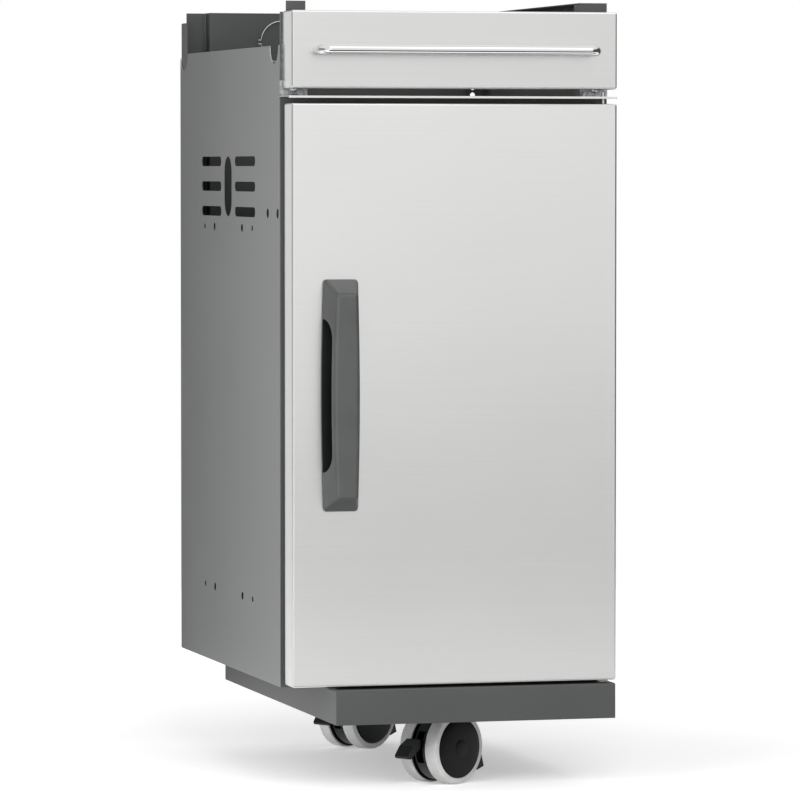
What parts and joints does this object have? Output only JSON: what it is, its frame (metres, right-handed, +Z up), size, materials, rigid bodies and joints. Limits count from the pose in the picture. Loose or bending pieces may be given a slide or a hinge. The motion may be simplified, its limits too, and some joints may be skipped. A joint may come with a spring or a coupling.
{
  "type": "grill cabinet",
  "caption": "Tall narrow outdoor grill cabinet with a stainless hinged door, grip handle, header with towel bar, vented side panels and twin-wheel casters.",
  "frame": {"origin": "on the ground under the middle of the bounding box", "axes": "+Z up, the door faces -Y, the door's pivots are at +X and its handle at -X"},
  "size_m": [0.377, 0.58, 0.877],
  "materials": {
    "grey_paint": "satin mid-grey powder coat",
    "dark_paint": "satin dark-grey powder coat",
    "stainless": "stainless sheet, fine satin grain",
    "chrome": "bright plated rod",
    "zinc": "bare galvanised sheet",
    "steel": "plated steel",
    "white_nylon": "natural nylon",
    "black_rubber": "soft black rubber",
    "tyre_rubber": "light grey non-marking tread",
    "grey_plastic": "moulded dark-grey nylon",
    "black_plastic": "moulded black nylon"
  },
  "bodies": {
    "cabinet": {"left_side_panel": "grey_paint", "right_side_panel": "grey_paint", "front_left_post": "dark_paint", "rear_left_post": "dark_paint", "front_right_post": "dark_paint", "rear_right_post": "dark_paint", "back_panel": "dark_paint", "floor_panel": "dark_paint", "base_plinth": "dark_paint", "front_caster_channel": "zinc", "front_caster_stem_bush": "white_nylon", "rear_caster_channel": "zinc", "rear_caster_stem_bush": "white_nylon", "upper_cross_rail": "dark_paint", "divider_strip": "stainless", "header_panel": "stainless", "towel_bar": "chrome", "towel_bar_screw_left": "steel", "towel_bar_screw_right": "steel", "left_header_bracket": "zinc", "left_bracket_screw": "steel", "right_header_bracket": "zinc", "right_bracket_screw": "steel", "hose_ring": "steel", "hose_ring_clip": "black_plastic", "lower_pivot_pin": "steel", "pivot_washer": "white_nylon", "magnet_catch": "black_plastic"},
    "door": {"door_skin": "stainless", "door_liner": "stainless", "door_handle": "grey_plastic", "handle_screw_lower": "steel", "handle_screw_upper": "steel", "upper_pivot_block": "black_plastic", "lower_pivot_block": "black_plastic", "upper_pivot_pin": "steel", "catch_strike_plate": "steel", "door_bumper_lower": "black_rubber", "door_bumper_upper": "black_rubber"},
    "front_caster": {"front_caster_housing": "black_plastic", "front_caster_axle": "steel", "front_caster_pedal_pin": "steel"},
    "front_caster_pedal": {"front_caster_brake_pedal": "black_plastic"},
    "front_caster_left_wheel": {"front_caster_left_hub": "black_plastic", "front_caster_left_tyre": "tyre_rubber"},
    "front_caster_right_wheel": {"front_caster_right_hub": "black_plastic", "front_caster_right_tyre": "tyre_rubber"},
    "rear_caster": {"rear_caster_housing": "black_plastic", "rear_caster_axle": "steel", "rear_caster_pedal_pin": "steel"},
    "rear_caster_pedal": {"rear_caster_brake_pedal": "black_plastic"},
    "rear_caster_left_wheel": {"rear_caster_left_hub": "black_plastic", "rear_caster_left_tyre": "tyre_rubber"},
    "rear_caster_right_wheel": {"rear_caster_right_hub": "black_plastic", "rear_caster_right_tyre": "tyre_rubber"}
  },
  "joints": [
    {"name": "door_hinge", "type": "hinge", "parent": "cabinet", "child": "door", "pos_m": [0.176, -0.239, 0.4], "axis": [0, 0, 1], "range_deg": [0, 120]},
    {"name": "front_caster_swivel", "type": "hinge", "parent": "cabinet", "child": "front_caster", "pos_m": [0.0271, -0.142, 0.05], "axis": [0, 0, 1], "continuous": true},
    {"name": "front_caster_brake", "type": "hinge", "parent": "front_caster", "child": "front_caster_pedal", "pos_m": [-0.00519, -0.16297, 0.049], "axis": [0.5446, -0.8387, 0], "range_deg": [0, 12]},
    {"name": "front_caster_left_wheel_spin", "type": "hinge", "parent": "front_caster", "child": "front_caster_left_wheel", "pos_m": [0.01326, -0.15099, 0.041], "axis": [-0.5446, 0.8387, 0], "continuous": true},
    {"name": "front_caster_right_wheel_spin", "type": "hinge", "parent": "front_caster", "child": "front_caster_right_wheel", "pos_m": [0.01326, -0.15099, 0.041], "axis": [-0.5446, 0.8387, 0], "continuous": true},
    {"name": "rear_caster_swivel", "type": "hinge", "parent": "cabinet", "child": "rear_caster", "pos_m": [0.0248, 0.232, 0.05], "axis": [0, 0, 1], "continuous": true},
    {"name": "rear_caster_brake", "type": "hinge", "parent": "rear_caster", "child": "rear_caster_pedal", "pos_m": [-0.00693, 0.21019, 0.049], "axis": [0.5664, -0.8241, 0], "range_deg": [0, 12]},
    {"name": "rear_caster_left_wheel_spin", "type": "hinge", "parent": "rear_caster", "child": "rear_caster_left_wheel", "pos_m": [0.0112, 0.22265, 0.041], "axis": [-0.5664, 0.8241, 0], "continuous": true},
    {"name": "rear_caster_right_wheel_spin", "type": "hinge", "parent": "rear_caster", "child": "rear_caster_right_wheel", "pos_m": [0.0112, 0.22265, 0.041], "axis": [-0.5664, 0.8241, 0], "continuous": true}
  ]
}
